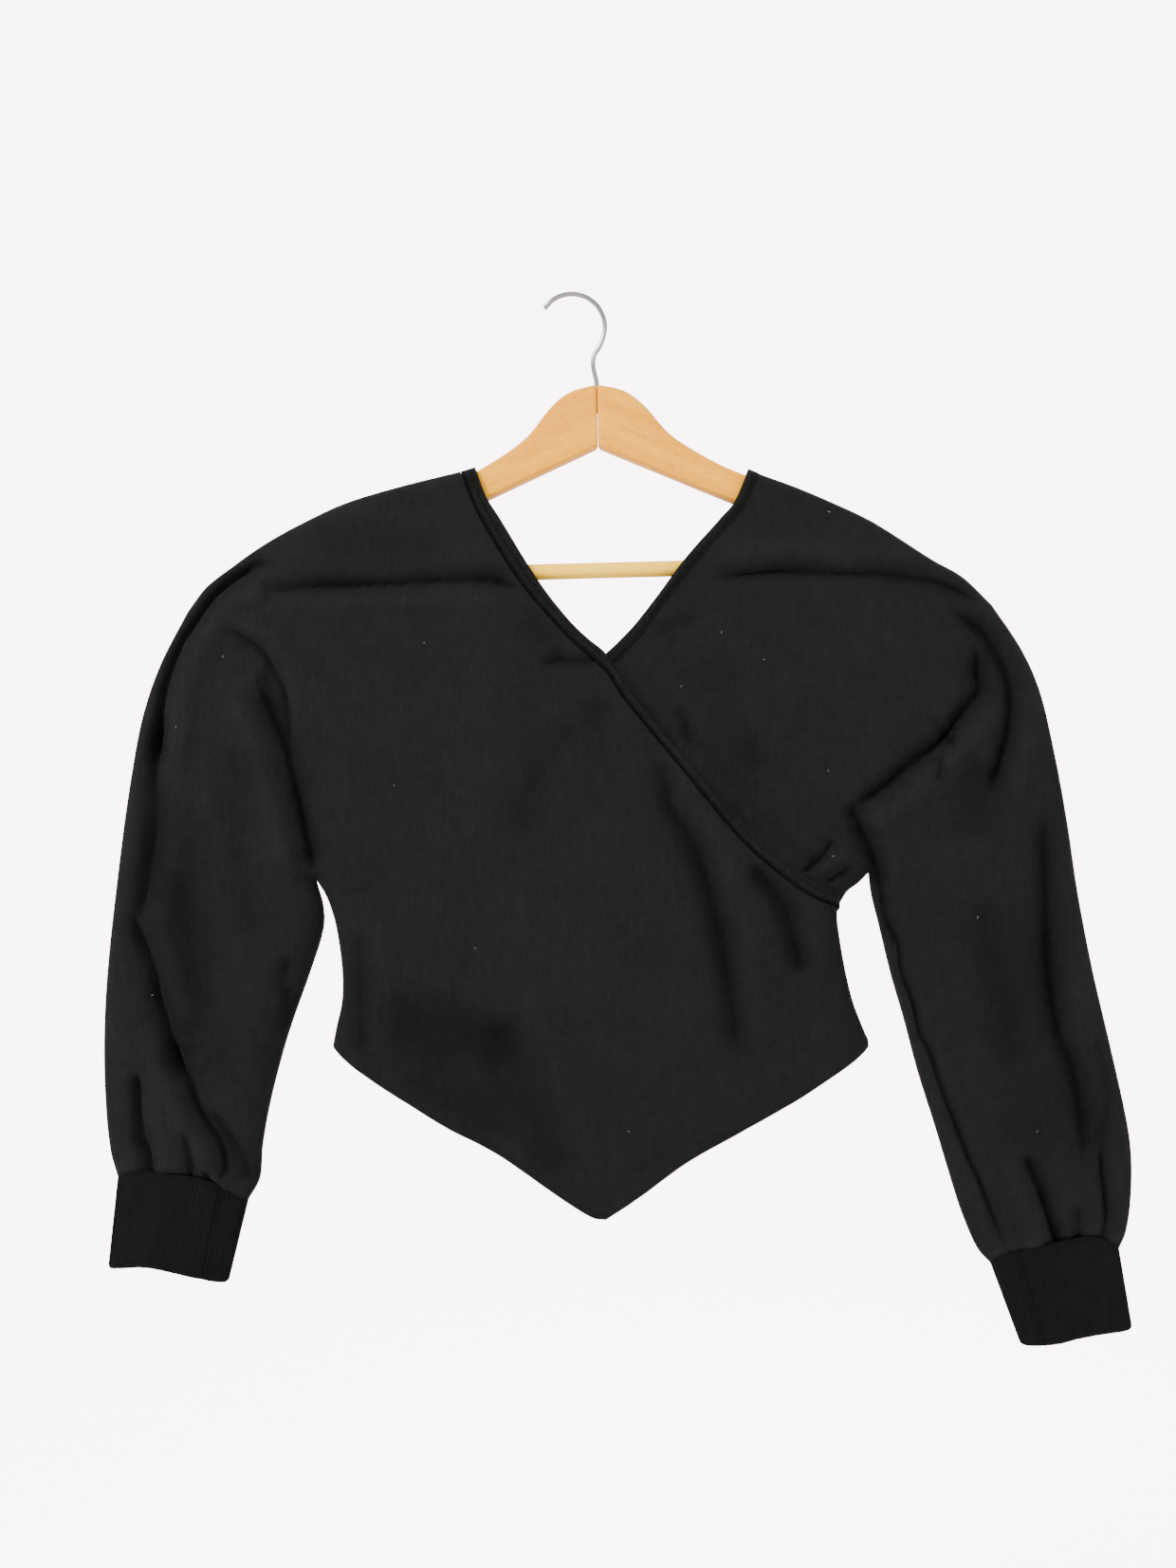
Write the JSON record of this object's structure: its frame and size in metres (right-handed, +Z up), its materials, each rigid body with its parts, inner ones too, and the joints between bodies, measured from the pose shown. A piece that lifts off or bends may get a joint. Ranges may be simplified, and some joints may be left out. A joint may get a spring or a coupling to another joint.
{
  "type": "wrap-front batwing sweater on a wooden hanger",
  "caption": "Cropped wrap-front sweater with batwing sleeves, rib neckband and cuffs and a pointed hem, on a wooden hanger with a trouser bar.",
  "frame": {"origin": "top of the inner curve of the hanger's hook, where a rail carries it", "axes": "+X to the right seen from the front, -Y out of the front, +Z up"},
  "size_m": [0.6931, 0.0336, 0.7102],
  "materials": {
    "knit": "matt, brushed sweatshirt knit, near black",
    "rib": "matt, fine 1x1 rib, near black",
    "wood": "satin clear lacquer on pale wood",
    "wire": "bright drawn wire"
  },
  "bodies": {
    "root": {"back": "knit", "front_over": "knit", "front_under": "knit", "neckband_over": "rib", "neckband_under": "rib", "neckband_back_left": "rib", "neckband_back_right": "rib", "cuff_left": "rib", "cuff_right": "rib", "hanger_arm_left": "wood", "hanger_arm_right": "wood", "hanger_bar": "wood", "hanger_hook": "wire"}
  },
  "joints": []
}
